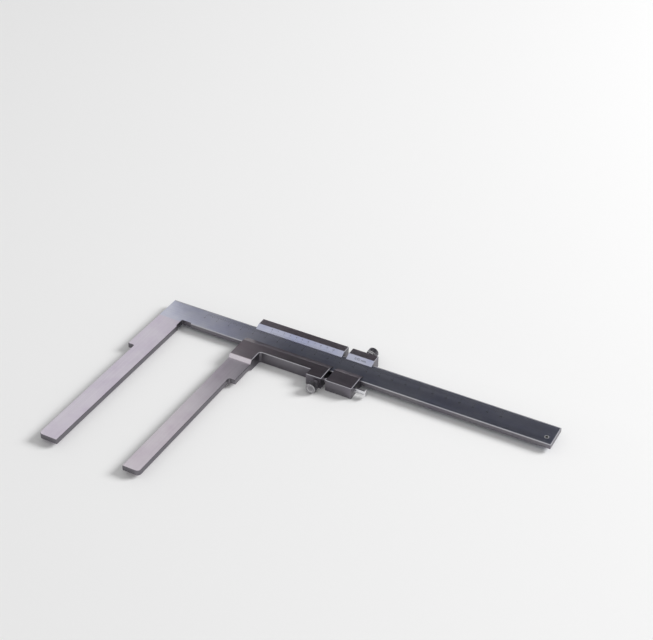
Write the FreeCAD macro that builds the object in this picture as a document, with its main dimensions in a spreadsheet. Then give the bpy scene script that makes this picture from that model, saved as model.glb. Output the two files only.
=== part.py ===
import FreeCAD, Part

import math
import os
import re

import Sketcher

# Vernier caliper for brake discs, with 150 mm jaws and a fine-adjust block. Millimetres.
#
# The instrument is drawn about its own datum: X is 0 in the fixed jaw's measuring face and runs
# along the beam in the opening direction, Y is 0 on the beam's lower edge and runs away from the
# jaws, Z is 0 in the middle of the beam's thickness. Each piece is then placed in the row frame,
# whose origin lies half way down the fixed jaw's measuring face.

SIZES = [
    ("beam_length", 300.0, "beam, from the fixed jaw's back to the free end"),
    ("beam_width", 20.0, "beam, across its face"),
    ("beam_thickness", 4.0, "beam and both jaws"),
    ("beam_chamfer", 0.45, "broken long edges of the beam"),
    ("jaw_chamfer", 0.2, "broken edges of both jaws"),
    ("jaw_length", 150.0, "both jaws, from the beam's lower edge to the tips"),
    ("jaw_step_depth", 40.8, "from the beam's lower edge to the step in each jaw's outer side"),
    ("jaw_tip_radius", 2.5, "outer corner of each tip"),
    ("jaw_step_radius", 1.0, "inside corner of each jaw's outer step"),
    ("fixed_root_width", 19.0, "fixed jaw above its step"),
    ("fixed_jaw_width", 14.0, "fixed jaw below its step"),
    ("relief_size", 6.9, "undercut in the corner of beam and fixed jaw, along each edge"),
    ("relief_depth", 1.1, "the undercut's depth into beam and jaw"),
    ("relief_corner", 0.5, "slant across the undercut's corner"),
    ("opening", 51.1, "between the measuring faces, as the caliper is set"),
    ("slide_clearance", 0.05, "between the beam and what slides on it"),
    ("frame_length", 68.9, "slider frame, along the beam"),
    ("frame_height", 9.0, "slider frame and block, front to back"),
    ("upper_reach", 7.8, "frame and block beyond the beam's upper edge"),
    ("lower_reach", 7.7, "slider frame beyond the beam's lower edge"),
    ("lip_overlap", 4.8, "lower slope's thin edge over the beam's face"),
    ("lip_top", 0.8, "top of the lower slope beyond the beam's lower edge"),
    ("vernier_overlap", 3.0, "vernier edge over the beam's face"),
    ("vernier_edge", 0.3, "thickness of both thin edges"),
    ("vernier_top", 1.4, "top of the vernier slope beyond the beam's upper edge"),
    ("moving_root_width", 17.3, "moving jaw above its step"),
    ("moving_jaw_width", 12.4, "moving jaw below its step"),
    ("raised_depth", 18.6, "from the beam's lower edge to the ramps down to the jaw"),
    ("ramp_length", 1.95, "ramps, along the jaw"),
    ("throat_radius", 2.0, "corner of rail and moving jaw"),
    ("ear_width", 11.5, "ear under the slider's end, along the beam"),
    ("ear_reach", 13.8, "ear and block beyond the beam's lower edge"),
    ("edge_break", 0.3, "broken edges of frame and block"),
    ("block_gap", 3.4, "between the slider and the fine-adjust block"),
    ("block_length", 19.8, "fine-adjust block, along the beam"),
    ("gib_thickness", 0.8, "bronze strip between the upper wall and the beam"),
    ("gib_height", 3.6, "the strip's width"),
    ("gib_inset", 2.0, "the strip's ends in from the frame's ends"),
    ("dimple_depth", 0.25, "seats of the screw tips in the strips"),
    ("grub_inset", 13.0, "strip screws, in from the frame's ends"),
    ("grub_length", 5.0, "strip screw"),
    ("slot_width", 0.5, "screwdriver slot"),
    ("slot_depth", 0.8, "screwdriver slot"),
    ("thread_diameter", 2.5, "thumb screws and strip screws"),
    ("thread_clearance", 0.05, "round a screw in its hole, on the radius"),
    ("neck_diameter", 4.6, "thumb screw, between wall and head"),
    ("neck_length", 3.7, "thumb screw, wall to head"),
    ("head_diameter", 7.6, "thumb screw head"),
    ("head_length", 5.0, "thumb screw head"),
    ("head_chamfer", 0.5, "thumb screw head"),
    ("knurl_depth", 0.35, "grooves of the knurled heads"),
    ("knurl_count", 30, "grooves round a thumb screw head"),
    ("lock_screw_wall", 0.2, "metal between the lock screw's hole and the spindle's end"),
    ("clamp_screw_inset", 7.7, "block clamp screw, in from the block's far end"),
    ("pad_length", 2.0, "brass pad under the lock screw"),
    ("pad_diameter", 2.3, "brass pad"),
    ("spindle_depth", 8.2, "spindle axis below the beam's lower edge"),
    ("spindle_diameter", 3.4, "threaded spindle"),
    ("spindle_reach", 7.7, "spindle between the block and its knurled disc"),
    ("disc_diameter", 5.2, "knurled disc of the spindle"),
    ("disc_length", 1.1, "knurled disc"),
    ("disc_knurl_count", 24, "grooves round the disc"),
    ("journal_diameter", 2.2, "spindle end that turns in the ear"),
    ("journal_length", 2.1, "spindle end in the ear"),
    ("groove_diameter", 1.4, "ring groove in that end"),
    ("retainer_diameter", 0.8, "pin that holds the spindle by its groove"),
    ("retainer_skin", 2.75, "metal left in front of that pin"),
    ("running_clearance", 0.05, "round the spindle, on the radius"),
    ("stop_diameter", 2.0, "stop pin at the beam's free end"),
    ("stop_inset", 5.2, "stop pin, in from the free end"),
    ("stop_height", 6.4, "stop pin, up from the beam's lower edge"),
    ("stop_proud", 1.2, "stop pin, out of the beam's back"),
]
NAMES = {name for name, value, note in SIZES}

doc = FreeCAD.newDocument("DiscCaliper")
sheet = doc.addObject("Spreadsheet::Sheet", "Sizes")
for row, (name, value, note) in enumerate(SIZES, 1):
    sheet.set(f"A{row}", name)
    sheet.set(f"B{row}", str(value))
    sheet.set(f"C{row}", note)
    sheet.setAlias(f"B{row}", name)
doc.recompute()

# Places and levels that several pieces share, in terms of the sheet.
front = "(frame_height / 2)"
face = "(beam_thickness / 2)"
channel = "(beam_thickness / 2 + slide_clearance)"
upper_wall = "(beam_width + gib_thickness + 2 * slide_clearance)"
upper_side = "(beam_width + upper_reach)"
jaw_start = "(raised_depth + ramp_length)"
screw_bore = "(thread_diameter / 2 + thread_clearance)"
retainer_offset = "(groove_diameter / 2 + retainer_diameter / 2 + running_clearance)"
block_start = "(frame_length + block_gap)"
lock_inset = f"(journal_length + running_clearance + lock_screw_wall + {screw_bore})"
lock_place = f"(frame_length - {lock_inset})"
pieces = []


def sized(expression):
    """The expression with each size's name pointing at its cell in the sheet."""
    return re.sub(r"[a-z_]+", lambda w: f"Sizes.{w[0]}" if w[0] in NAMES else w[0], expression)


def size(name):
    return float(sheet.get(name))


def bind(feature, prop, expression):
    feature.setExpression(prop, sized(expression))


def new_body(name, x="0", y="0", z="0"):
    """A body whose datum lies at (x, y, z) from the caliper's own datum."""
    body = doc.addObject("PartDesign::Body", name)
    body.Label = name
    bind(body, "Placement.Base.x", x)
    bind(body, "Placement.Base.y", f"{y} + jaw_length / 2")
    bind(body, "Placement.Base.z", z)
    pieces.append(body)
    return body


def origin_part(body, role):
    return next(part for part in body.Origin.OriginFeatures if part.Role == role)


def sketch_on(body, role, name, height="0"):
    """A sketch on one of the body's origin planes, lifted along that plane's normal."""
    sketch = body.newObject("Sketcher::SketchObject", f"{body.Name}_{name}_outline")
    sketch.AttachmentSupport = [(origin_part(body, role), "")]
    sketch.MapMode = "FlatFace"
    bind(sketch, "AttachmentOffset.Base.z", height)
    return sketch


def hold(sketch, edge, point, x, y):
    """Dimensions one point of a sketch from its origin."""
    for kind, expression in (("DistanceX", x), ("DistanceY", y)):
        index = sketch.addConstraint(Sketcher.Constraint(kind, -1, 1, edge, point, 1.0))
        bind(sketch, f"Constraints[{index}]", expression)


def draw_polygon(sketch, corners):
    """A closed outline of straight lines through corners, each an (x, y) pair of expressions."""
    first, count = len(sketch.Geometry), len(corners)
    turn = 2 * math.pi / count
    ring = [FreeCAD.Vector(math.cos(turn * i), math.sin(turn * i)) for i in range(count)]
    for i in range(count):
        sketch.addGeometry(Part.LineSegment(ring[i], ring[(i + 1) % count]), False)
    for i in range(count):
        sketch.addConstraint(Sketcher.Constraint("Coincident", first + i, 2, first + (i + 1) % count, 1))
    for i, (x, y) in enumerate(corners):
        hold(sketch, first + i, 1, x, y)


def draw_rectangle(sketch, left, low, right, high):
    draw_polygon(sketch, [(left, low), (right, low), (right, high), (left, high)])


def draw_circle(sketch, x, y, radius):
    edge = sketch.addGeometry(Part.Circle(FreeCAD.Vector(0, 0), FreeCAD.Vector(0, 0, 1), 1.0), False)
    hold(sketch, edge, 3, x, y)
    index = sketch.addConstraint(Sketcher.Constraint("Radius", edge, 1.0))
    bind(sketch, f"Constraints[{index}]", radius)


def pad(body, sketch, name, length):
    feature = body.newObject("PartDesign::Pad", f"{body.Name}_{name}")
    feature.Profile = sketch
    bind(feature, "Length", length)
    doc.recompute()
    return feature


def pocket(body, sketch, name, depth, along_normal=False):
    """Cuts against the sketch plane's normal, or along it, and makes sure that metal went."""
    before = body.Shape.Volume
    feature = body.newObject("PartDesign::Pocket", f"{body.Name}_{name}")
    feature.Profile = sketch
    feature.Reversed = along_normal
    bind(feature, "Length", depth)
    doc.recompute()
    if not body.Shape.Volume < before:
        raise RuntimeError(f"{feature.Name} cuts nothing")
    return feature


def revolve(body, sketch, name, axis):
    feature = body.newObject("PartDesign::Revolution", f"{body.Name}_{name}")
    feature.Profile = sketch
    feature.ReferenceAxis = (sketch, [axis])
    feature.Angle = 360
    doc.recompute()
    return feature


def dress(body, kind, name, prop, expression, wanted):
    """A PartDesign Fillet or Chamfer on the edges of the body's last feature that wanted() picks."""
    base = body.Tip
    edges = [f"Edge{i}" for i, edge in enumerate(base.Shape.Edges, 1) if wanted(edge)]
    if not edges:
        raise RuntimeError(f"{body.Name} has no edge for {name}")
    feature = body.newObject(f"PartDesign::{kind}", f"{body.Name}_{name}")
    feature.Base = (base, edges)
    bind(feature, prop, expression)
    doc.recompute()
    return feature


def near(a, b):
    return abs(a - b) < 1e-4


def round_corner(body, name, radius, x, y):
    """A fillet on the edges that stand along Z at that place."""

    def stands_there(edge):
        box = edge.BoundBox
        upright = near(box.XLength, 0) and near(box.YLength, 0)
        return upright and near(box.XMin, x) and near(box.YMin, y)

    dress(body, "Fillet", name, "Radius", radius, stands_there)


def knurl(body, plane, axis, radius, start, length, count):
    """Straight V grooves round a head: one is cut along the axis and patterned round it."""
    half_width = f"({radius} * pi / {count} * 1.6)"
    outline = sketch_on(body, plane, "knurl", start)
    draw_polygon(
        outline,
        [
            (f"{radius} + knurl_depth", f"-{half_width}"),
            (f"{radius} - knurl_depth", "0"),
            (f"{radius} + knurl_depth", half_width),
        ],
    )
    groove = pocket(body, outline, "knurl", length)
    ring = body.newObject("PartDesign::PolarPattern", f"{body.Name}_knurl_ring")
    ring.Originals = [groove]
    ring.Axis = (origin_part(body, axis), [""])
    ring.Angle = 360
    bind(ring, "Occurrences", count)
    body.Tip = ring
    doc.recompute()


# Beam and fixed jaw: ground from one flat bar. The jaw steps in on its outer side, and the corner
# where it meets the beam is undercut so that both faces can be ground right into it.
beam = new_body("beam_fixed_jaw")
outline = sketch_on(beam, "XY_Plane", "blank", f"-{face}")
draw_polygon(
    outline,
    [
        ("-fixed_root_width", "beam_width"),
        ("-fixed_root_width", "-jaw_step_depth"),
        ("-fixed_jaw_width", "-jaw_step_depth"),
        ("-fixed_jaw_width", "-jaw_length"),
        ("0", "-jaw_length"),
        ("0", "0"),
        ("beam_length - fixed_root_width", "0"),
        ("beam_length - fixed_root_width", "beam_width"),
    ],
)
pad(beam, outline, "blank", "beam_thickness")
round_corner(beam, "tip", "jaw_tip_radius", -size("fixed_jaw_width"), -size("jaw_length"))
round_corner(beam, "step", "jaw_step_radius", -size("fixed_jaw_width"), -size("jaw_step_depth"))
outline = sketch_on(beam, "XY_Plane", "undercut", face)
draw_polygon(
    outline,
    [
        ("-relief_depth", "relief_depth - relief_corner"),
        ("-relief_depth", "-relief_size"),
        ("relief_size", "-relief_size"),
        ("relief_size", "relief_depth"),
        ("-relief_depth + relief_corner", "relief_depth"),
    ],
)
pocket(beam, outline, "undercut", "beam_thickness")


def face_edge(edge):
    """Picks the edges that border the flat front and back of beam and jaws."""
    return near(edge.BoundBox.ZLength, 0) and near(abs(edge.BoundBox.ZMin), size("beam_thickness") / 2)


def long_beam_edge(edge):
    box = edge.BoundBox
    on_upper = near(box.YMin, size("beam_width")) and near(box.YMax, size("beam_width"))
    on_lower = near(box.YMin, 0) and near(box.YMax, 0)
    at_end = near(box.XMin, size("beam_length") - size("fixed_root_width"))
    return face_edge(edge) and (on_upper or on_lower or at_end)


def jaw_edge(level):
    """Picks the edges round a jaw's front and back that reach further down than level."""
    return lambda edge: face_edge(edge) and edge.BoundBox.YMin < -level - 1e-3


dress(beam, "Chamfer", "edges", "Size", "beam_chamfer", long_beam_edge)
dress(beam, "Chamfer", "jaw_edges", "Size", "jaw_chamfer", jaw_edge(size("relief_size")))
stop_place = "beam_length - fixed_root_width - stop_inset"
outline = sketch_on(beam, "XY_Plane", "stop_hole", face)
draw_circle(outline, stop_place, "stop_height", "stop_diameter / 2")
pocket(beam, outline, "stop_hole", "beam_thickness")

# Stop pin: pressed through the beam near its free end, flush in front and proud behind, where the
# block's back runs against it.
stop = new_body("end_stop_pin", stop_place, "stop_height", f"-{face} - stop_proud")
outline = sketch_on(stop, "XY_Plane", "shank")
draw_circle(outline, "0", "0", "stop_diameter / 2")
pad(stop, outline, "shank", "beam_thickness + stop_proud")
dress(stop, "Chamfer", "nose", "Size", "edge_break", lambda edge: near(edge.BoundBox.ZMax, 0))


def channel_section(sketch, lower_reach):
    """The section that slider and block share: a T-slot for the beam, open in front between two
    slopes that run down to thin edges on its face, with room for a strip above the beam."""
    draw_polygon(
        sketch,
        [
            (f"-{lower_reach}", f"-{front}"),
            (upper_side, f"-{front}"),
            (upper_side, front),
            ("beam_width + vernier_top", front),
            ("beam_width - vernier_overlap", f"{channel} + vernier_edge"),
            ("beam_width - vernier_overlap", channel),
            (upper_wall, channel),
            (upper_wall, f"-{channel}"),
            ("-slide_clearance", f"-{channel}"),
            ("-slide_clearance", channel),
            ("lip_overlap", channel),
            ("lip_overlap", f"{channel} + vernier_edge"),
            ("-lip_top", front),
            (f"-{lower_reach}", front),
        ],
    )


def outer_break(edge):
    """Picks the edges round the front and back faces, apart from the tops of the two slopes."""
    box = edge.BoundBox
    on_face = near(box.ZLength, 0) and near(abs(box.ZMin), size("frame_height") / 2)
    top = size("beam_width") + size("vernier_top")
    on_slope = near(box.YMin, box.YMax) and (near(box.YMin, top) or near(box.YMin, -size("lip_top")))
    return on_face and not on_slope


# Slider frame and moving jaw: one forging. Behind the lower rail the metal is as high as the frame,
# then ramps down in front and behind to a jaw as thick as the beam. An ear under the far end
# carries the lock screw and the spindle's end.
slider = new_body("slider_moving_jaw", "opening")
outline = sketch_on(slider, "YZ_Plane", "frame")
channel_section(outline, "lower_reach")
pad(slider, outline, "frame", "frame_length")
outline = sketch_on(slider, "YZ_Plane", "root")
draw_polygon(
    outline,
    [
        ("-lower_reach / 2", f"-{front}"),
        ("-lower_reach / 2", front),
        ("-raised_depth", front),
        (f"-{jaw_start}", face),
        (f"-{jaw_start}", f"-{face}"),
        ("-raised_depth", f"-{front}"),
    ],
)
pad(slider, outline, "root", "moving_root_width")
outline = sketch_on(slider, "XY_Plane", "jaw", f"-{face}")
draw_polygon(
    outline,
    [
        ("0", "-raised_depth"),
        ("0", "-jaw_length"),
        ("moving_jaw_width", "-jaw_length"),
        ("moving_jaw_width", "-jaw_step_depth"),
        ("moving_root_width", "-jaw_step_depth"),
        ("moving_root_width", "-raised_depth"),
    ],
)
pad(slider, outline, "jaw", "beam_thickness")
outline = sketch_on(slider, "XY_Plane", "ear", f"-{front}")
draw_rectangle(outline, "frame_length - ear_width", "-ear_reach", "frame_length", "-lower_reach / 2")
pad(slider, outline, "ear", "frame_height")
round_corner(slider, "tip", "jaw_tip_radius", size("moving_jaw_width"), -size("jaw_length"))
round_corner(slider, "step", "jaw_step_radius", size("moving_jaw_width"), -size("jaw_step_depth"))
round_corner(slider, "throat", "throat_radius", size("moving_root_width"), -size("lower_reach"))
dress(slider, "Chamfer", "edges", "Size", "edge_break", outer_break)
ramp_end = size("raised_depth") + size("ramp_length")
dress(slider, "Chamfer", "jaw_edges", "Size", "jaw_chamfer", jaw_edge(ramp_end))
outline = sketch_on(slider, "XZ_Plane", "lock_hole")
draw_circle(outline, lock_place, "0", screw_bore)
pocket(slider, outline, "lock_hole", "ear_reach + edge_break", True)
outline = sketch_on(slider, "YZ_Plane", "journal_hole", "frame_length")
draw_circle(outline, "-spindle_depth", "0", "journal_diameter / 2 + running_clearance")
pocket(slider, outline, "journal_hole", "journal_length + running_clearance")
outline = sketch_on(slider, "XY_Plane", "retainer_hole", f"-{front}")
pin_x, pin_y = "frame_length - journal_length / 2", f"-spindle_depth - {retainer_offset}"
draw_circle(outline, pin_x, pin_y, "retainer_diameter / 2")
pocket(slider, outline, "retainer_hole", "frame_height - retainer_skin", True)
outline = sketch_on(slider, "XZ_Plane", "strip_holes", "-beam_width")
for place in ("grub_inset", "frame_length - grub_inset"):
    draw_circle(outline, place, "0", screw_bore)
pocket(slider, outline, "strip_holes", "upper_reach + edge_break")


def gib_strip(name, x, length, dimples):
    """A flat bronze strip that takes up the play above the beam. The screw tips sit in its dimples."""
    strip = new_body(name, x, "beam_width + slide_clearance")
    outline = sketch_on(strip, "XZ_Plane", "strip", "-gib_thickness")
    draw_rectangle(outline, "0", "-gib_height / 2", length, "gib_height / 2")
    pad(strip, outline, "strip", "gib_thickness")
    outline = sketch_on(strip, "XZ_Plane", "dimples", "-gib_thickness")
    for place in dimples:
        draw_circle(outline, place, "0", "thread_diameter / 2 - 0.2")
    pocket(strip, outline, "dimples", "dimple_depth", True)


gib_strip(
    "slider_gib",
    "opening + gib_inset",
    "frame_length - 2 * gib_inset",
    ("grub_inset - gib_inset", "frame_length - grub_inset - gib_inset"),
)


# Strip screws: slotted, with a reduced tip, set into the slider's upper wall from behind it.
def grub_screw(name, x):
    screw = new_body(name, x, f"{upper_wall} - slide_clearance - dimple_depth + slide_clearance / 2")
    outline = sketch_on(screw, "XY_Plane", "profile")
    draw_polygon(
        outline,
        [
            ("0", "0"),
            ("thread_diameter / 2 - 0.35", "0"),
            ("thread_diameter / 2 - 0.35", "2 * dimple_depth + slide_clearance"),
            ("thread_diameter / 2", "3 * dimple_depth + slide_clearance"),
            ("thread_diameter / 2", "grub_length"),
            ("0", "grub_length"),
        ],
    )
    revolve(screw, outline, "profile", "V_Axis")
    outline = sketch_on(screw, "XZ_Plane", "slot", "-grub_length")
    draw_rectangle(outline, "-thread_diameter", "-slot_width / 2", "thread_diameter", "slot_width / 2")
    pocket(screw, outline, "slot", "slot_depth", True)


grub_screw("gib_screw_left", "opening + grub_inset")
grub_screw("gib_screw_right", "opening + frame_length - grub_inset")


def thumb_screw(name, thread_length, x, y, facing_up):
    """A turned thumb screw with a straight-knurled head. Its datum is on its axis, in the wall's
    outer face, with the head on the -Y side unless it faces up."""
    screw = new_body(name, x, y)
    outline = sketch_on(screw, "XY_Plane", "profile")
    draw_polygon(
        outline,
        [
            ("0", thread_length),
            ("thread_diameter / 2 - 0.4", thread_length),
            ("thread_diameter / 2", f"{thread_length} - 0.4"),
            ("thread_diameter / 2", "-edge_break"),
            ("neck_diameter / 2", "-edge_break"),
            ("neck_diameter / 2", "-neck_length"),
            ("head_diameter / 2 - head_chamfer", "-neck_length"),
            ("head_diameter / 2", "-neck_length - head_chamfer"),
            ("head_diameter / 2", "-neck_length - head_length + head_chamfer"),
            ("head_diameter / 2 - head_chamfer", "-neck_length - head_length"),
            ("0", "-neck_length - head_length"),
        ],
    )
    revolve(screw, outline, "profile", "V_Axis")
    end = "neck_length + head_length"
    knurl(screw, "XZ_Plane", "Y_Axis", "head_diameter / 2", end, "head_length", "knurl_count")
    if facing_up:
        screw.Placement.Rotation = FreeCAD.Rotation(FreeCAD.Vector(0, 0, 1), 180)


# Slider lock screw and its brass pad: the screw comes up through the ear and presses the pad on the
# beam's lower edge.
thumb_screw(
    "lock_screw",
    "(ear_reach - 2 * slide_clearance - pad_length)",
    f"opening + {lock_place}",
    "-ear_reach",
    False,
)
lock_pad = new_body("lock_pad", f"opening + {lock_place}", "-slide_clearance - pad_length")
outline = sketch_on(lock_pad, "XZ_Plane", "slug", "-pad_length")
draw_circle(outline, "0", "0", "pad_diameter / 2")
pad(lock_pad, outline, "slug", "pad_length")
dress(lock_pad, "Chamfer", "ends", "Size", "edge_break", lambda edge: near(edge.BoundBox.YLength, 0))

# Fine-adjust block: a short length of the slider's own section, as deep as the ear, tapped for the
# spindle. Its clamp screw comes down through the upper wall onto a strip of its own.
block = new_body("adjust_block", f"opening + {block_start}")
outline = sketch_on(block, "YZ_Plane", "section")
channel_section(outline, "ear_reach")
pad(block, outline, "section", "block_length")
dress(block, "Chamfer", "edges", "Size", "edge_break", outer_break)
outline = sketch_on(block, "YZ_Plane", "spindle_hole", "block_length")
draw_circle(outline, "-spindle_depth", "0", "spindle_diameter / 2 + running_clearance")
pocket(block, outline, "spindle_hole", "block_length")
outline = sketch_on(block, "XZ_Plane", "clamp_hole", "-beam_width")
draw_circle(outline, "block_length - clamp_screw_inset", "0", screw_bore)
pocket(block, outline, "clamp_hole", "upper_reach + edge_break")
gib_strip(
    "block_gib",
    f"opening + {block_start} + gib_inset",
    "block_length - 2 * gib_inset",
    ("block_length - clamp_screw_inset - gib_inset",),
)
thumb_screw(
    "clamp_screw",
    "(upper_reach - gib_thickness - slide_clearance + dimple_depth / 2)",
    f"opening + {block_start} + block_length - clamp_screw_inset",
    upper_side,
    True,
)

# Spindle: screwed through the block, with a grooved journal that turns in the ear and a knurled
# disc beyond the block. Turning it moves the block by the thread's pitch.
disc_start = "(block_gap + block_length + spindle_reach)"
groove_half = "(retainer_diameter / 2 + running_clearance)"
spindle = new_body("adjust_spindle", "opening + frame_length", "-spindle_depth")
outline = sketch_on(spindle, "XY_Plane", "profile")
draw_polygon(
    outline,
    [
        ("-journal_length", "0"),
        ("-journal_length", "journal_diameter / 2"),
        (f"-journal_length / 2 - {groove_half}", "journal_diameter / 2"),
        (f"-journal_length / 2 - {groove_half}", "groove_diameter / 2"),
        (f"-journal_length / 2 + {groove_half}", "groove_diameter / 2"),
        (f"-journal_length / 2 + {groove_half}", "journal_diameter / 2"),
        ("edge_break", "journal_diameter / 2"),
        ("edge_break", "spindle_diameter / 2"),
        (disc_start, "spindle_diameter / 2"),
        (disc_start, "disc_diameter / 2 - edge_break"),
        (f"{disc_start} + edge_break", "disc_diameter / 2"),
        (f"{disc_start} + disc_length - edge_break", "disc_diameter / 2"),
        (f"{disc_start} + disc_length", "disc_diameter / 2 - edge_break"),
        (f"{disc_start} + disc_length", "0"),
    ],
)
revolve(spindle, outline, "profile", "H_Axis")
disc_end = f"{disc_start} + disc_length"
knurl(spindle, "YZ_Plane", "X_Axis", "disc_diameter / 2", disc_end, "disc_length", "disc_knurl_count")

# Retaining pin: driven in from behind, it lies in the journal's groove and keeps the spindle in
# the ear.
retainer = new_body("spindle_retainer", f"opening + {pin_x}", pin_y, f"-{front}")
outline = sketch_on(retainer, "XY_Plane", "pin")
draw_circle(outline, "0", "0", "retainer_diameter / 2")
pad(retainer, outline, "pin", "frame_height - retainer_skin")

doc.recompute()
for item in doc.Objects:
    if "Invalid" in item.State or "Error" in item.State:
        raise RuntimeError(f"{item.Name} failed: {item.State}")
for body in pieces:
    if body.Shape.isNull() or not body.Shape.isValid() or len(body.Shape.Solids) != 1:
        raise RuntimeError(f"{body.Label} is not one sound solid")

os.makedirs("parts", exist_ok=True)
for body in pieces:
    body.Shape.exportStep(f"parts/{body.Label}.step")
    print(body.Label, round(body.Shape.Volume, 1))
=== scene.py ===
import math

import bpy
from mathutils import Matrix, Vector


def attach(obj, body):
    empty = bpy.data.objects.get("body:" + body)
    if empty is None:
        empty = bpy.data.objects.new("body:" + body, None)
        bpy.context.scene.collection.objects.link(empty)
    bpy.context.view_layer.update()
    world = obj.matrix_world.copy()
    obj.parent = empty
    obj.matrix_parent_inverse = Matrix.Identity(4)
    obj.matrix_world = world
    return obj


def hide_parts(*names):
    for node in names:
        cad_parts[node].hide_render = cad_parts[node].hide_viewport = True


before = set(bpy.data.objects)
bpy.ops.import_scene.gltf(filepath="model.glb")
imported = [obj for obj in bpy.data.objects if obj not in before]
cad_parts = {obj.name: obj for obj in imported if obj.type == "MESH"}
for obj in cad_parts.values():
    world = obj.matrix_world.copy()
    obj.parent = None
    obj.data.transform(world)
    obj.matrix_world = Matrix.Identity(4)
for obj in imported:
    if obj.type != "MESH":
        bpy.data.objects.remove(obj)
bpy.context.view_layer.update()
MM = 0.001

# Beam and fixed jaw
# One bar of hardened steel, surface-ground along the beam and along the jaw. Its face is satin grey
# with fine straight grinding lines and a little staining, and its upper edge carries a pale painted
# highlight.
FINE_LINES, BROAD_LINES = 5200, 900
GRAIN_STRETCH = 70
BUMP_DEPTH = 0.00001
NOISE_MIDDLE = (0.3, 0.7)
# How far a face's normal points along Z, at most on a side and between the two on a broken edge.
SIDE_BELOW, EDGE_BETWEEN = 0.6, (0.65, 0.85)
# Painted tones: shade for sides and broken edges, a highlight for the frame's long broken edges,
# and a pale satin highlight for the right-hand ends and the beam's upper edge.
SIDE_SHADE, EDGE_HIGHLIGHT, PALE_HIGHLIGHT = (0.2, 0.19, 0.21, 1), (0.42, 0.42, 0.44, 1), (0.33, 0.33, 0.355, 1)


def wire(tree, kind, inputs=None, **settings):
    """Adds a shader node with its settings, and its inputs as values or as sockets to link."""
    node = tree.nodes.new(kind)
    for name, value in settings.items():
        setattr(node, name, value)
    for name, value in (inputs or {}).items():
        if isinstance(value, bpy.types.NodeSocket):
            tree.links.new(value, node.inputs[name])
        else:
            node.inputs[name].default_value = value
    return node


def new_material(name):
    """An empty material, and its tree of nodes."""
    material = bpy.data.materials.new(name)
    material.use_nodes = True
    material.node_tree.nodes.clear()
    return material, material.node_tree


def stretched_noise(tree, place, scale, detail):
    """Noise with a scale of its own along each axis."""
    mapped = wire(tree, "ShaderNodeMapping", {"Vector": place, "Scale": scale}).outputs["Vector"]
    inputs = {"Vector": mapped, "Scale": 1.0, "Detail": detail}
    return wire(tree, "ShaderNodeTexNoise", inputs).outputs["Fac"]


def grain(tree, place, along, fineness):
    """Grinding lines: noise drawn out along one axis. fineness is lines per metre across them."""
    stretch = [fineness] * 3
    stretch[along] = fineness / GRAIN_STRETCH
    return stretched_noise(tree, place, stretch, 2.0)


def mix(tree, kind, factor, a, b):
    inputs = {"Factor": factor, "A": a, "B": b}
    return wire(tree, "ShaderNodeMix", inputs, data_type=kind).outputs["Result"]


def mix_values(tree, factor, a, b):
    return mix(tree, "FLOAT", factor, a, b)


def mix_colours(tree, factor, a, b):
    return mix(tree, "RGBA", factor, a, b)


def span(tree, value, low, high, source=NOISE_MIDDLE):
    """Stretches a part of a value's range, by default the middle of a noise, over low to high."""
    inputs = {"From Min": source[0], "From Max": source[1], "To Min": low, "To Max": high}
    return wire(tree, "ShaderNodeMapRange", {"Value": value, **inputs}).outputs["Result"]


def work_out(tree, operation, *values):
    inputs = dict(enumerate(values))
    return wire(tree, "ShaderNodeMath", inputs, operation=operation).outputs[0]


def over(tree, value, level):
    """1 where the first value is over the second, and 0 elsewhere."""
    return work_out(tree, "GREATER_THAN", value, level)


def both(tree, a, b):
    return work_out(tree, "MULTIPLY", a, b)


def either(tree, a, b):
    return work_out(tree, "MAXIMUM", a, b)


def within(tree, value, low, high):
    """1 where the value is between the two others, and 0 elsewhere."""
    return both(tree, over(tree, value, low), over(tree, high, value))


def varied(tree, colour, value, saturation=1.0):
    """A colour with its value, and its saturation, changed by noise."""
    inputs = {"Color": colour, "Saturation": saturation, "Value": value}
    return wire(tree, "ShaderNodeHueSaturation", inputs).outputs["Color"]


def bumped(tree, height, strength):
    inputs = {"Height": height, "Strength": strength, "Distance": BUMP_DEPTH}
    return wire(tree, "ShaderNodeBump", inputs).outputs["Normal"]


def surface(tree, inputs, kind="ShaderNodeBsdfPrincipled"):
    """Adds the shader and the output, which end each material."""
    shader = wire(tree, kind, inputs).outputs["BSDF"]
    wire(tree, "ShaderNodeOutputMaterial", {"Surface": shader})


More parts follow.
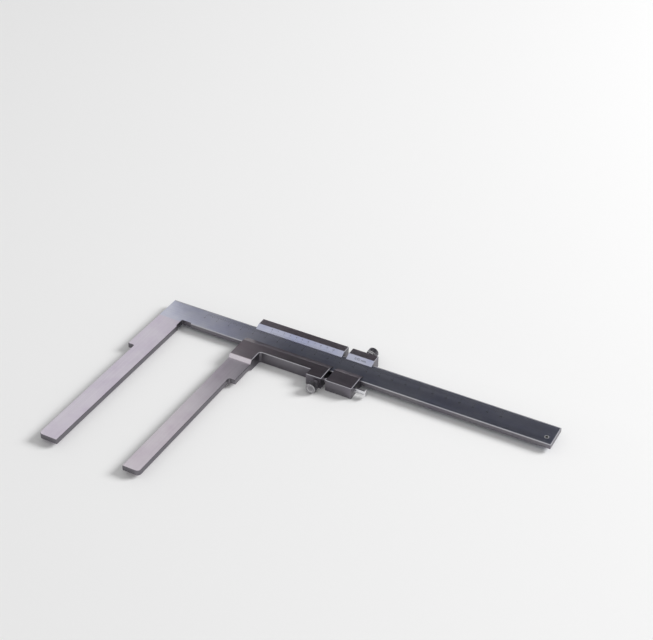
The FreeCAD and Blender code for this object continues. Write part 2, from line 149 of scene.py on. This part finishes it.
def ground_steel(name, colour, jaw_colour=None, jaw_below=0.0, bands=(), highlight_above=None):
    """Ground steel, with the lines along X, and along Y where the jaw begins. Bands of the front,
    and the jaw, can take other colours. Sides and broken edges are darkened as painted shade. The
    long broken edges of the frame carry a painted highlight. Those of the right-hand ends, and the
    front above one height, are painted as a pale satin highlight."""
    material, tree = new_material(name)
    texture_places = wire(tree, "ShaderNodeTexCoord").outputs
    place = texture_places["Object"]
    axes = wire(tree, "ShaderNodeSeparateXYZ", {"Vector": place}).outputs
    fine, broad = (grain(tree, place, 0, fineness) for fineness in (FINE_LINES, BROAD_LINES))
    tint = (*colour, 1)
    above = 1.0
    if jaw_colour:
        above = over(tree, axes["Y"], jaw_below)
        fine_jaw, broad_jaw = (
            grain(tree, place, 1, fineness) for fineness in (FINE_LINES, BROAD_LINES)
        )
        fine = mix_values(tree, above, fine_jaw, fine)
        broad = mix_values(tree, above, broad_jaw, broad)
        tint = mix_colours(tree, above, (*jaw_colour, 1), tint)
    on_front = over(tree, axes["Z"], beam_face - 0.05 * MM)
    for low, high, band_colour in bands:
        band = both(tree, within(tree, axes["Y"], low, high), on_front)
        tint = mix_colours(tree, band, tint, (*band_colour, 1))
    normal = wire(tree, "ShaderNodeSeparateXYZ", {"Vector": texture_places["Normal"]}).outputs
    across, facing = (work_out(tree, "ABSOLUTE", normal[axis]) for axis in "YZ")
    broken_edge = within(tree, facing, *EDGE_BETWEEN)
    side = over(tree, SIDE_BELOW, facing)
    # Painted shade: sides and broken edges are darkened by the way their normals face.
    tint = mix_colours(tree, either(tree, broken_edge, side), tint, SIDE_SHADE)
    frame_edge = both(tree, broken_edge, above)
    # Painted highlight on the frame's long broken edges.
    tint = mix_colours(tree, both(tree, over(tree, across, 0.5), frame_edge), tint, EDGE_HIGHLIGHT)
    # Painted highlight, pale satin and not metallic: the right-hand ends' broken edges, and the
    # front above a height.
    wear_and_highlight = both(tree, over(tree, normal["X"], 0.5), frame_edge)
    if highlight_above:
        wear_and_highlight = either(tree, wear_and_highlight, both(tree, over(tree, axes["Y"], highlight_above), on_front))
    tint = mix_colours(tree, wear_and_highlight, tint, PALE_HIGHLIGHT)
    staining = {"Vector": place, "Scale": 42.0, "Detail": 4.0, "Roughness": 0.65}
    cloud = wire(tree, "ShaderNodeTexNoise", staining).outputs["Fac"]
    duller = span(tree, cloud, 1.02, 0.9, (0.4, 0.75))
    stained = varied(tree, tint, duller, span(tree, cloud, 0.9, 1.5, (0.4, 0.7)))
    surface(
        tree,
        {
            "Base Color": varied(tree, stained, span(tree, broad, 0.96, 1.04)),
            "Metallic": mix_values(tree, wear_and_highlight, 1.0, 0.0),
            "Roughness": span(tree, broad, 0.3, 0.37),
            "Normal": bumped(tree, fine, 0.5),
        },
    )
    return material


def dress(node, material):
    """Gives a CAD node its finished material."""
    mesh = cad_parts[node].data
    mesh.materials.clear()
    mesh.materials.append(material)


jaw_length = 150 * MM
beam_lower = jaw_length / 2
beam_width = 20 * MM
beam_upper = beam_lower + beam_width
beam_face = 2 * MM
beam_steel = ground_steel(
    "ground beam steel",
    (0.5, 0.51, 0.59),
    jaw_colour=(0.54, 0.5, 0.565),
    jaw_below=beam_lower - 1.2 * MM,
    # The front's top strip is a painted highlight.
    highlight_above=beam_upper - 1.2 * MM,
)
dress("beam_fixed_jaw", beam_steel)

# Beam graduations
# Cut into the beam's face and filled black: a line each millimetre, longer ones each 5 and 10, and
# plain numbers each centimetre. They run on past the range, so that the whole vernier has lines.


def matt(name, shade):
    """A matt filling or finish, patchy where it is worn."""
    material, tree = new_material(name)
    place = wire(tree, "ShaderNodeTexCoord").outputs["Object"]
    patches = {"Vector": place, "Scale": 900.0, "Detail": 2.0}
    wear_and_highlight = span(tree, wire(tree, "ShaderNodeTexNoise", patches).outputs["Fac"], 0.0, 0.5)
    colour = mix_colours(tree, wear_and_highlight, (shade, shade, shade, 1), (0.16, 0.16, 0.17, 1))
    surface(tree, {"Base Color": colour, "Roughness": 0.6})
    return material


def start_fresh():
    """Goes back to object mode, with nothing selected."""
    if bpy.context.object and bpy.context.object.mode != "OBJECT":
        bpy.ops.object.mode_set(mode="OBJECT")
    bpy.ops.object.select_all(action="DESELECT")


def take(name):
    """Names the object that an operator has just made, and its mesh."""
    piece = bpy.context.object
    piece.name = name
    piece.data.name = name
    return piece


def settle(piece):
    """Moves the piece's place into its mesh, so that its object sits at the origin."""
    start_fresh()
    piece.select_set(True)
    bpy.context.view_layer.objects.active = piece
    bpy.ops.object.transform_apply(location=True, rotation=True, scale=True)
    return piece


def finish(piece, material, body):
    """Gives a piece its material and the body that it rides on."""
    piece.data.materials.clear()
    piece.data.materials.append(material)
    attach(piece, body)


MARK_WIDTH, MARK_THICKNESS, MARK_SINK = 0.13 * MM, 0.05 * MM, 0.013 * MM
LETTER_DEPTH, FONT_CAPITAL_HEIGHT = 0.012 * MM, 0.7


def row_of_marks(centre, length, count, pitch, turn=0.0, width=MARK_WIDTH):
    """A row of cut lines along X, as thin closed bars that stand 0.012 mm out of the face."""
    start_fresh()
    bpy.ops.mesh.primitive_cube_add(size=1, location=(0, 0, 0))
    bar = bpy.context.object
    bar.scale = (width, length, MARK_THICKNESS)
    bar.rotation_euler = (turn, 0, 0)
    settle(bar)
    array = bar.modifiers.new("marks", "ARRAY")
    array.use_relative_offset = False
    array.use_constant_offset = True
    array.constant_offset_displace = (pitch, 0, 0)
    array.count = count
    bpy.ops.object.modifier_apply(modifier=array.name)
    bar.location = centre
    return settle(bar)


def join(pieces, name):
    """Makes one piece of several, and names it."""
    start_fresh()
    for piece in pieces:
        piece.select_set(True)
    bpy.context.view_layer.objects.active = pieces[0]
    bpy.ops.object.join()
    return take(name)


def word(text, x, y, z, height, turn=0.0):
    """Plain lettering as a thin closed mesh, centred on x, with its foot at y."""
    start_fresh()
    bpy.ops.object.text_add(location=(0, 0, 0))
    letters = bpy.context.object
    letters.data.body = text
    letters.data.size = height / FONT_CAPITAL_HEIGHT
    letters.data.align_x = "CENTER"
    letters.data.resolution_u = 3
    letters.data.extrude = LETTER_DEPTH
    bpy.ops.object.convert(target="MESH")
    letters = bpy.context.object
    letters.rotation_euler = (turn, 0, 0)
    letters.location = (x, y, z)
    return settle(letters)


scale_start = 11.7 * MM
scale_top = beam_lower + 17.5 * MM
scale_length_mm = 230
short_mark, middle_mark, long_mark = 2.9 * MM, 3.9 * MM, 4.9 * MM
number_foot, number_height = scale_top - 6.9 * MM, 1.35 * MM
marks = []
for pitch_mm, inner, outer in (
    (1, 0, short_mark),
    (5, short_mark, middle_mark),
    (10, middle_mark, long_mark),
):
    centre = (scale_start, scale_top - (inner + outer) / 2, beam_face - MARK_SINK)
    count = scale_length_mm // pitch_mm + 1
    marks.append(row_of_marks(centre, outer - inner, count, pitch_mm * MM))
marking_black = matt("black filling", 0.03)
finish(join(marks, "beam_graduations"), marking_black, "beam")
numbers = [
    word(str(cm), scale_start + 10 * MM * cm, number_foot, beam_face, number_height)
    for cm in range(scale_length_mm // 10 + 1)
]
finish(join(numbers, "beam_numbers"), marking_black, "beam")

# Stop pin
# A short pin pressed through the beam near its free end, painted dark as painted shade. Its face is
# flush, and a pale ring round it on the beam is a painted highlight of its hole's lip.


def turned_steel(name, colour, roughness):
    """Turned and polished steel with faint tool marks."""
    material, tree = new_material(name)
    place = wire(tree, "ShaderNodeTexCoord").outputs["Object"]
    tooling = stretched_noise(tree, place, (900, 900, 900), 3.0)
    surface(
        tree,
        {
            "Base Color": varied(tree, (*colour, 1), span(tree, tooling, 0.9, 1.08)),
            "Metallic": 1.0,
            "Roughness": span(tree, tooling, roughness - 0.05, roughness + 0.06),
            "Normal": bumped(tree, tooling, 0.3),
        },
    )
    return material


# The pin's dark colour is painted shade.
shaded_pin_steel = turned_steel("pin steel in painted shade", (0.14, 0.14, 0.15), 0.35)
dress("end_stop_pin", shaded_pin_steel)
pin_radius, lip_width, lip_flatness = 1 * MM, 0.6 * MM, 0.05
pin_place = (275.8 * MM, beam_lower + 6.4 * MM, beam_face)
start_fresh()
bpy.ops.mesh.primitive_torus_add(
    major_radius=pin_radius + lip_width / 2,
    minor_radius=lip_width / 2,
    major_segments=48,
    minor_segments=12,
    location=(0, 0, 0),
)
lip = take("pin_hole_lip")
lip.scale = (1, 1, lip_flatness)
lip.location = pin_place
# The lip's pale ring is a painted highlight.
finish(settle(lip), matt("lip in painted highlight", 0.3), "beam")

# Slider and moving jaw
# One forging, ground all over: the frame along the beam and the jaw along its own length. Frame and
# jaw are lit and shaded copies: the frame painted darker and browner than the beam, the jaw
# lighter, and the vernier slope lighter and bluer as a painted reflection of the light above.
slope_foot = Vector((0, beam_lower + 17.0 * MM, 2.35 * MM))
slope_head = Vector((0, beam_lower + 21.4 * MM, 4.5 * MM))
slope_low, slope_high = slope_foot.y - 0.05 * MM, slope_head.y + 0.02 * MM
past_rail = slope_head.y + 20 * MM
# Painted tones for bands of the front: the vernier slope lighter and bluer as a painted reflection,
# then the rail beyond it.
bands = [
    (slope_low, slope_high, (0.41, 0.425, 0.53)),
    (slope_high, past_rail, (0.4, 0.355, 0.38)),
]
slider_steel = ground_steel(
    "ground slider steel",
    (0.34, 0.3, 0.32),
    # The jaw is painted lighter than the frame, a painted highlight on the same steel.
    jaw_colour=(0.55, 0.51, 0.55),
    jaw_below=beam_lower - 18.6 * MM,
    bands=bands,
)
dress("slider_moving_jaw", slider_steel)

# Vernier
# Fifty divisions in 49 mm on the slope of the slider's upper rail, with plain numbers above them.
opening = 51.1 * MM
slope_way = (slope_head - slope_foot).normalized()
slope_out = Vector((0, -slope_way.z, slope_way.y))
slope_turn = math.atan2(slope_way.z, slope_way.y)


def on_slope(x, up, lift):
    """A point on the vernier slope, so far up it from its foot, lifted along its normal."""
    return Vector((x, 0, 0)) + slope_foot + slope_way * up + slope_out * lift


vernier_divisions = 50
vernier_pitch = 49 * MM / vernier_divisions
vernier_start = opening + scale_start
vernier_mark_width = 0.11 * MM
vernier_number_foot, vernier_number_height = 2.8 * MM, 1.25 * MM
marks = []
for step, inner, outer in (
    (1, 0.1 * MM, 1.4 * MM),
    (5, 1.4 * MM, 1.9 * MM),
    (10, 1.9 * MM, 2.4 * MM),
):
    marks.append(
        row_of_marks(
            on_slope(vernier_start, (inner + outer) / 2, -MARK_SINK),
            outer - inner,
            vernier_divisions // step + 1,
            step * vernier_pitch,
            slope_turn,
            vernier_mark_width,
        )
    )
finish(join(marks, "vernier_graduations"), marking_black, "slider")
numbers = []
for tenth in range(vernier_divisions // 5 + 1):
    foot = on_slope(vernier_start + tenth * 5 * vernier_pitch, vernier_number_foot, 0)
    numbers.append(word(str(tenth), *foot, vernier_number_height, slope_turn))
finish(join(numbers, "vernier_numbers"), marking_black, "slider")

# Strips and their screws
# Flat bronze strips ride between the upper walls and the beam. Two slotted screws set the slider's.
# The pad under the lock screw is of the same bronze.
strip_bronze, tree = new_material("rubbed bronze")
rubbed = grain(tree, wire(tree, "ShaderNodeTexCoord").outputs["Object"], 0, 2500)
surface(
    tree,
    {
        "Base Color": varied(tree, (0.55, 0.38, 0.2, 1), span(tree, rubbed, 0.85, 1.1)),
        "Metallic": 1.0,
        "Roughness": span(tree, rubbed, 0.28, 0.42),
    },
)
for node in ("slider_gib", "block_gib", "lock_pad"):
    dress(node, strip_bronze)
screw_steel = turned_steel("turned screw steel", (0.3, 0.29, 0.31), 0.38)
dress("gib_screw_left", screw_steel)
dress("gib_screw_right", screw_steel)

# Thumb screws
# Turned from bar: a straight-knurled head, chamfered at both ends and dished in its end face, on a
# plain neck. One locks the slider, the other clamps the block.


def edit_all(piece):
    """Opens a piece in edit mode, with all of it selected."""
    start_fresh()
    piece.select_set(True)
    bpy.context.view_layer.objects.active = piece
    bpy.ops.object.mode_set(mode="EDIT")
    bpy.ops.mesh.select_all(action="SELECT")


def close_up(piece):
    """Merges what touches, points the faces outwards and shades the mesh by its angles."""
    edit_all(piece)
    bpy.ops.mesh.remove_doubles(threshold=0.001 * MM)
    bpy.ops.mesh.normals_make_consistent(inside=False)
    start_fresh()
    piece.select_set(True)
    bpy.ops.object.shade_smooth_by_angle(angle=math.radians(28))
    return piece


def point_at(name, x, radius):
    """A mesh of one vertex over the X axis, left in edit mode to be extruded."""
    start_fresh()
    bpy.ops.mesh.primitive_plane_add(size=1, location=(0, 0, 0))
    piece = take(name)
    edit_all(piece)
    bpy.ops.mesh.merge(type="CENTER")
    bpy.ops.transform.translate(value=(x, 0, radius))
    return piece


ROUND_STEPS, THREAD_STEPS = 48, 24


def spun(name, profile):
    """A closed body turned round the X axis from its (x, radius) points."""
    piece = point_at(name, *profile[0])
    for (x0, r0), (x1, r1) in zip(profile, profile[1:]):
        bpy.ops.mesh.extrude_region_move(TRANSFORM_OT_translate={"value": (x1 - x0, 0, r1 - r0)})
    bpy.ops.mesh.select_all(action="SELECT")
    bpy.ops.mesh.spin(steps=ROUND_STEPS, angle=math.tau, center=(0, 0, 0), axis=(1, 0, 0))
    return close_up(piece)


DISH_RIM, DISH_TAPER = 0.2, 0.7
POINTS_PER_GROOVE = 3
ROUNDING = 0.01 * MM


def resize_round_x(scale):
    """Moves what is selected towards or away from the X axis."""
    bpy.ops.transform.resize(value=(1, scale, scale), center_override=(0, 0, 0))


def knurled_barrel(name, start, length, radius, chamfer, depth, grooves, dish):
    """A closed knurled barrel along X. Its V grooves run out on the turned chamfers, and its far
    end is dished."""
    start_fresh()
    bpy.ops.mesh.primitive_circle_add(
        vertices=POINTS_PER_GROOVE * grooves,
        radius=radius - chamfer,
        fill_type="NGON",
        location=(start, 0, 0),
        rotation=(0, math.pi / 2, 0),
    )
    piece = settle(take(name))
    edit_all(piece)
    for along, scale in (
        (chamfer, radius / (radius - chamfer)),
        (length - 2 * chamfer, 1),
        (chamfer, (radius - chamfer) / radius),
    ):
        bpy.ops.mesh.extrude_region_move(TRANSFORM_OT_translate={"value": (along, 0, 0)})
        resize_round_x(scale)
    bpy.ops.mesh.inset(thickness=DISH_RIM * radius)
    bpy.ops.mesh.extrude_region_move(TRANSFORM_OT_translate={"value": (-dish, 0, 0)})
    resize_round_x(DISH_TAPER)
    for side in (-1, 1):
        bpy.ops.mesh.select_all(action="DESELECT")
        bpy.ops.object.mode_set(mode="OBJECT")
        for vertex in piece.data.vertices:
            x, y, z = vertex.co
            point = math.atan2(z, y) % math.tau / math.tau * POINTS_PER_GROOVE * grooves
            in_groove = int(point + 0.25) % POINTS_PER_GROOVE == 2
            on_rim = math.hypot(y, z) > radius - ROUNDING
            on_this_end = side * (x - start - length / 2) > 0
            vertex.select = in_groove and on_rim and on_this_end
        bpy.ops.object.mode_set(mode="EDIT")
        resize_round_x(1 - depth / radius)
        bpy.ops.transform.translate(value=(side * depth, 0, 0))
    return close_up(piece)


def stand(piece, turn, place):
    """Turns a piece made along X about Z, and moves it to its place."""
    piece.rotation_euler = (0, 0, turn)
    piece.location = place
    return settle(piece)


CHAMFER_FROM, CHAMFER_TO = 0.35, 0.95


def brighten_chamfers(piece, material):
    """Gives the turned chamfers of a piece made along X a lighter steel, as a painted highlight."""
    piece.data.materials.append(material)
    for face in piece.data.polygons:
        if CHAMFER_FROM < abs(face.normal.x) < CHAMFER_TO:
            face.material_index = 1


head_radius, head_length, head_chamfer = 3.8 * MM, 5 * MM, 0.5 * MM
neck_radius, neck_length, neck_flare = 2.3 * MM, 3.7 * MM, 0.5 * MM
stud_radius, stud_chamfer = 1.25 * MM, 0.4 * MM
inside_neck, inside_head = 0.3 * MM, 0.1 * MM
knurl_depth, knurl_count, head_dish = 0.35 * MM, 30, 0.35 * MM
# Lighter turned steel: a painted highlight on the thumb screws' chamfers, and the spindle pin's own
# colour.
rim_steel = turned_steel("bright turned steel", (0.42, 0.42, 0.43), 0.3)


def thumb_screw(name, node, body, stud_length, turn, place):
    """The finished screw, in place of the CAD's plain one."""
    stud = spun(
        name,
        [
            (-stud_length, 0),
            (-stud_length, stud_radius - stud_chamfer),
            (-stud_length + stud_chamfer, stud_radius),
            (inside_neck, stud_radius),
            (inside_neck, neck_radius),
            (neck_length + inside_head - neck_flare, neck_radius),
            (neck_length + inside_head, neck_radius + neck_flare),
            (neck_length + inside_head, 0),
        ],
    )
    head = knurled_barrel(
        "head",
        neck_length,
        head_length,
        head_radius,
        head_chamfer,
        knurl_depth,
        knurl_count,
        head_dish,
    )
    screw = join([stud, head], name)
    finish(screw, screw_steel, body)
    # Painted highlight on the chamfers.
    brighten_chamfers(screw, rim_steel)
    stand(screw, turn, place)
    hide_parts(node)


ear_bottom = beam_lower - 13.8 * MM
lock_stud, lock_place = 11.7 * MM, (116.35 * MM, ear_bottom, 0)
thumb_screw("lock_thumb_screw", "lock_screw", "lock_screw", lock_stud, -math.pi / 2, lock_place)

# Fine-adjust block
# Milled from the same steel as the slider and ground along the beam, with the vernier's reading cut
# into its slope and its own thumb screw above.
block_steel = ground_steel("ground block steel", (0.43, 0.38, 0.41), bands=bands)
dress("adjust_block", block_steel)
reading_place, reading_height = on_slope(133.4 * MM, 1.6 * MM, 0), 1.75 * MM
reading = word("0.02 mm", *reading_place, reading_height, slope_turn)
reading.name = reading.data.name = "block_reading"
finish(reading, marking_black, "adjust_block")
upper_side = beam_upper + 7.8 * MM
clamp_stud, clamp_place = 7.07 * MM, (135.5 * MM, upper_side, 0)
thumb_screw("clamp_thumb_screw", "clamp_screw", "clamp_screw", clamp_stud, math.pi / 2, clamp_place)

# Spindle and its pin
# Bright turned steel: a screw thread through the block, a grooved end that turns in the slider's
# ear, and a small knurled disc on the free end. The pin sits in the groove.
dress("spindle_retainer", rim_steel)


def thread(name, start, turns, pitch, root, crest):
    """A closed ridge wound right-handed round the X axis, by the Screw modifier."""
    piece = point_at(name, start, root)
    flank, flat, rise = 0.42 * pitch, 0.1 * pitch, crest - root
    for along, out in ((flank, rise), (flat, 0), (flank, -rise)):
        bpy.ops.mesh.extrude_region_move(TRANSFORM_OT_translate={"value": (along, 0, out)})
    bpy.ops.mesh.select_all(action="SELECT")
    bpy.ops.mesh.edge_face_add()
    start_fresh()
    winding = piece.modifiers.new("thread", "SCREW")
    winding.axis = "X"
    winding.angle = math.tau
    winding.screw_offset = pitch
    winding.iterations = turns
    winding.steps = winding.render_steps = THREAD_STEPS
    bpy.ops.object.modifier_apply(modifier=winding.name)
    edit_all(piece)
    bpy.ops.mesh.fill_holes(sides=4)
    return close_up(piece)


spindle_place = (120 * MM, beam_lower - 8.2 * MM, 0)
journal_radius, journal_length, journal_chamfer = 1.1 * MM, 2.1 * MM, 0.15 * MM
ring_groove, ring_groove_half = 0.7 * MM, 0.45 * MM
groove_start = -journal_length / 2 - ring_groove_half
groove_end = -journal_length / 2 + ring_groove_half
thread_crest, thread_root = 1.7 * MM, 1.42 * MM
thread_start, thread_turns, thread_pitch = 0.45 * MM, 59, 0.5 * MM
shaft_start, ridge_sink = 0.3 * MM, 0.06 * MM
disc_start, disc_length, disc_radius, disc_chamfer = 30.9 * MM, 1.1 * MM, 2.6 * MM, 0.3 * MM
disc_knurl_depth, disc_knurl_count, disc_dish = 0.22 * MM, 24, 0.12 * MM
shoulder_radius = thread_crest - 0.1 * MM
spindle_steel = turned_steel("bright spindle steel", (0.74, 0.74, 0.76), 0.16)
shaft = spun(
    "adjusting_spindle",
    [
        (-journal_length, 0),
        (-journal_length, journal_radius - journal_chamfer),
        (-journal_length + journal_chamfer, journal_radius),
        (groove_start, journal_radius),
        (groove_start, ring_groove),
        (groove_end, ring_groove),
        (groove_end, journal_radius),
        (shaft_start, journal_radius),
        (shaft_start, thread_root),
        (disc_start - 0.6 * MM, thread_root),
        (disc_start - 0.35 * MM, shoulder_radius),
        (disc_start + inside_head, shoulder_radius),
        (disc_start + inside_head, 0),
    ],
)
ridge_root = thread_root - ridge_sink
ridge = thread("ridge", thread_start, thread_turns, thread_pitch, ridge_root, thread_crest)
disc = knurled_barrel(
    "disc",
    disc_start,
    disc_length,
    disc_radius,
    disc_chamfer,
    disc_knurl_depth,
    disc_knurl_count,
    disc_dish,
)
spindle = join([shaft, ridge, disc], "adjusting_spindle")
finish(spindle, spindle_steel, "adjust_spindle")
stand(spindle, 0, spindle_place)
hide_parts("adjust_spindle")

# Camera
# A short telephoto view from above and to the right, as in the photograph. The focal length is in
# pixels of its 653-pixel width.
focal_length_px, picture_width_px = 1435.5, 653
right = Vector((0.88308, 0.46896, 0.01585))
down = Vector((0.28489, -0.50899, -0.81227))
ahead = Vector((-0.37285, 0.72181, -0.58308))
lens_data = bpy.data.cameras.new("camera")
lens_data.sensor_width = 36
lens_data.lens = lens_data.sensor_width * focal_length_px / picture_width_px
lens_data.clip_start = 0.01
lens_data.clip_end = 20
camera = bpy.data.objects.new("camera", lens_data)
bpy.context.scene.collection.objects.link(camera)
turn = Matrix((right, -down, -ahead)).transposed()
camera_place = (0.4756, -0.6205, 0.60545)
camera.matrix_world = Matrix.Translation(camera_place) @ turn.to_4x4()
bpy.context.scene.camera = camera

# Floor, reflector and light
# A plain pale floor under even soft light. A dark card behind the beam shows only in the steel's
# gloss, as a photographer would stand one there to give ground steel its tone. The lamp gives light
# and shadow, but no reflection of its own.
floor_level = -4.5 * MM
start_fresh()
bpy.ops.mesh.primitive_plane_add(size=8, location=(0, 0, floor_level))
floor = settle(take("floor"))
floor_paint, tree = new_material("pale floor")
surface(tree, {"Base Color": (0.86, 0.86, 0.86, 1), "Roughness": 0.8})
floor.data.materials.append(floor_paint)

card_width, card_height = 400 * MM, 200 * MM
card_left, card_back, card_foot = -44 * MM, 148 * MM, 6 * MM
card_lean, card_slant = math.radians(80), 0.26
light_until, middle_at, dark_from = 0, 37 * MM, 65 * MM
foot_until, foot_gone = 27 * MM, 42 * MM
start_fresh()
bpy.ops.mesh.primitive_plane_add(size=1, location=(0, 0, 0))
card = take("dark_card")
card.scale = (card_width, card_height, 1)
settle(card)
card.rotation_euler = (card_lean, 0, 0)
card.location = (card_left + card_width / 2, card_back, card_foot + card_height / 2)
settle(card)
card_paper, tree = new_material("shaded card")
place = wire(tree, "ShaderNodeTexCoord").outputs["Object"]
card_axes = wire(tree, "ShaderNodeSeparateXYZ", {"Vector": place}).outputs
aslant = work_out(tree, "MULTIPLY_ADD", card_axes["Z"], card_slant, card_axes["X"])
light, middle, dark, foot = (
    (0.95, 0.95, 1.0, 1),
    (0.28, 0.28, 0.31, 1),
    (0.035, 0.04, 0.06, 1),
    (0.42, 0.42, 0.44, 1),
)
tone = mix_colours(tree, span(tree, aslant, 0, 1, (light_until, middle_at)), light, middle)
tone = mix_colours(tree, span(tree, aslant, 0, 1, (middle_at, dark_from)), tone, dark)
above_foot = span(tree, card_axes["Z"], 0, 1, (foot_until, foot_gone))
tone = mix_colours(tree, above_foot, foot, tone)
surface(tree, {"Color": tone}, "ShaderNodeBsdfDiffuse")
card.data.materials.append(card_paper)
card.visible_camera = False
card.visible_diffuse = False
card.visible_shadow = False

world = bpy.data.worlds.new("studio")
bpy.context.scene.world = world
world.use_nodes = True
tree = world.node_tree
tree.nodes.clear()
sight = wire(tree, "ShaderNodeLightPath").outputs
seen = either(tree, sight["Is Camera Ray"], sight["Is Glossy Ray"])
fill_level, seen_level = 0.5, 1.0
level = mix_values(tree, seen, fill_level, seen_level)
sky = wire(tree, "ShaderNodeBackground", {"Color": (1, 1, 1, 1), "Strength": level})
wire(tree, "ShaderNodeOutputWorld", {"Surface": sky.outputs["Background"]})


def soft_lamp(name, place, size, power):
    """A round soft lamp, turned towards the middle of the piece."""
    light = bpy.data.lights.new(name, "AREA")
    light.shape = "DISK"
    light.size = size
    light.energy = power
    lamp = bpy.data.objects.new(name, light)
    bpy.context.scene.collection.objects.link(lamp)
    lamp.location = place
    aim = Vector((0.1, 0.03, 0)) - lamp.location
    lamp.rotation_euler = aim.to_track_quat("-Z", "Y").to_euler()
    return lamp


key = soft_lamp("key", place=(2.1, 1.5, 1.62), size=1.3, power=82.0)
key.visible_glossy = False
bpy.context.scene.view_settings.view_transform = "Standard"
